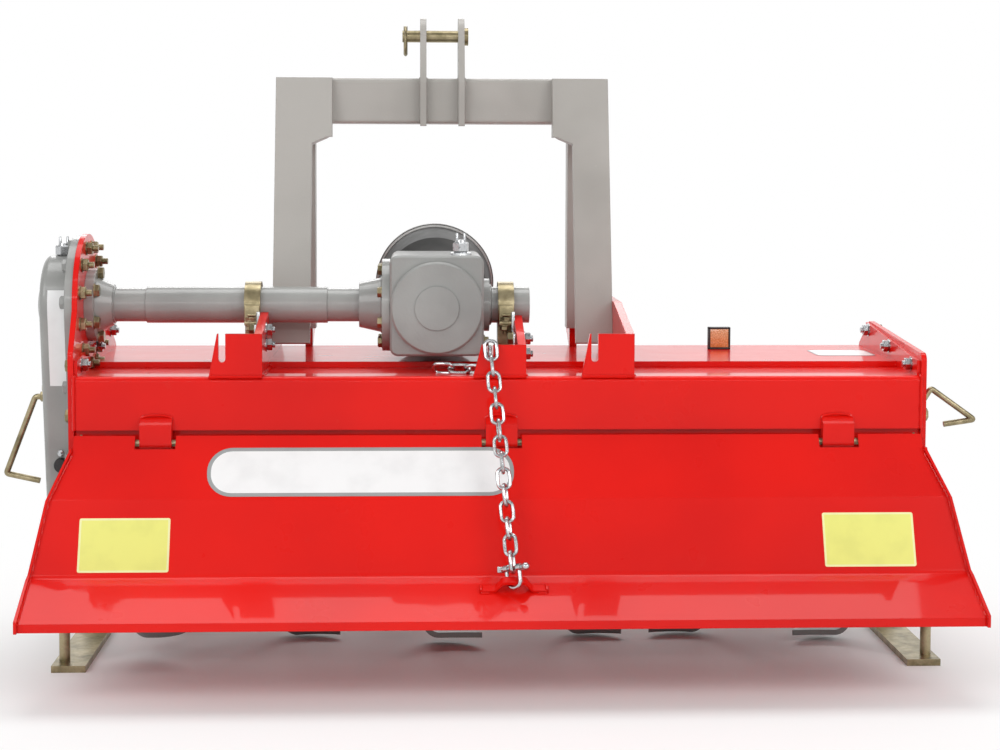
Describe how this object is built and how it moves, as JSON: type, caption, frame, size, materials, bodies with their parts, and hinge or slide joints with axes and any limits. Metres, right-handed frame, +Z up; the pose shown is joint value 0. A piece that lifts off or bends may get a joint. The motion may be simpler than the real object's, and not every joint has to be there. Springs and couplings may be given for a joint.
{
  "type": "rotary tiller",
  "caption": "Tractor-mounted rotary tiller: bladed rotor under a red hood with side drive, gearbox, three-point mast, hinged rear flap on a chain and adjustable skids.",
  "frame": {"origin": "under the middle of the machine's box, on the ground it stands on", "axes": "+X to the machine's right as seen from behind, +Y forwards to the tractor, +Z up"},
  "size_m": [1.4758, 0.677, 0.977],
  "materials": {
    "red_paint": "glossy red powder coat",
    "mast_paint": "satin warm grey paint",
    "casting_paint": "semi-gloss grey paint over rough castings",
    "yellow_zinc": "yellow passivated zinc",
    "bright_zinc": "bright zinc plate",
    "machined_steel": "machined and oiled steel",
    "tine_paint": "dark forged steel with thin paint",
    "shield_plastic": "moulded dark plastic",
    "amber_lens": "ribbed reflector lens in a dark frame"
  },
  "bodies": {
    "frame": {"rear_beam": "red_paint", "deck_sheet": "red_paint", "front_beam": "red_paint", "side_plate_left": "red_paint", "side_plate_right": "red_paint", "saddle_plate_left": "red_paint", "saddle_plate_right": "red_paint", "saddle_plate_centre": "red_paint", "lower_link_ears": "red_paint", "mast_rear_leg_left": "mast_paint", "mast_rear_leg_right": "mast_paint", "mast_front_leg_left": "mast_paint", "mast_front_leg_right": "mast_paint", "mast_beam": "mast_paint", "top_link_ears": "mast_paint", "top_link_pin": "yellow_zinc", "top_link_clip": "yellow_zinc", "gearbox_housing": "casting_paint", "gearbox_rear_cover": "casting_paint", "gearbox_filler": "yellow_zinc", "pto_shield": "shield_plastic", "axle_tube_left": "casting_paint", "axle_tube_right": "casting_paint", "tube_clamp_left": "yellow_zinc", "tube_clamp_right": "yellow_zinc", "gear_case": "casting_paint", "gear_case_flange": "casting_paint", "gear_case_fittings": "yellow_zinc", "rotor_hub": "casting_paint", "skid_left": "yellow_zinc", "skid_right": "yellow_zinc", "handle_left": "yellow_zinc", "handle_right": "yellow_zinc", "hinge_rod": "yellow_zinc", "chain": "bright_zinc", "chain_tail": "bright_zinc", "reflector": "amber_lens"},
    "rotor": {"rotor_tube": "tine_paint", "tine_set_1": "tine_paint", "tine_set_2": "tine_paint", "tine_set_3": "tine_paint", "tine_set_4": "tine_paint", "tine_set_5": "tine_paint", "tine_set_6": "tine_paint"},
    "pto": {"pto_shaft": "machined_steel"},
    "flap": {"flap_sheet": "red_paint", "flap_end_left": "red_paint", "flap_end_right": "red_paint", "chain_anchor": "red_paint"}
  },
  "joints": [
    {"name": "rotor_spin", "type": "hinge", "parent": "frame", "child": "rotor", "pos_m": [0, 0.06551, 0.215], "axis": [1, 0, 0], "continuous": true},
    {"name": "pto_spin", "type": "hinge", "parent": "frame", "child": "pto", "pos_m": [-0.093, 0.19498, 0.54181], "axis": [0, 0.9971, 0.0767], "continuous": true},
    {"name": "flap_swing", "type": "hinge", "parent": "frame", "child": "flap", "pos_m": [0, -0.13792, 0.33868], "axis": [-1, 0, 0], "range_deg": [0, 50], "deforming": ["chain"]}
  ],
  "couplings": [
    {"joint": "pto_spin", "follows": "rotor_spin", "ratio": -2.5}
  ]
}
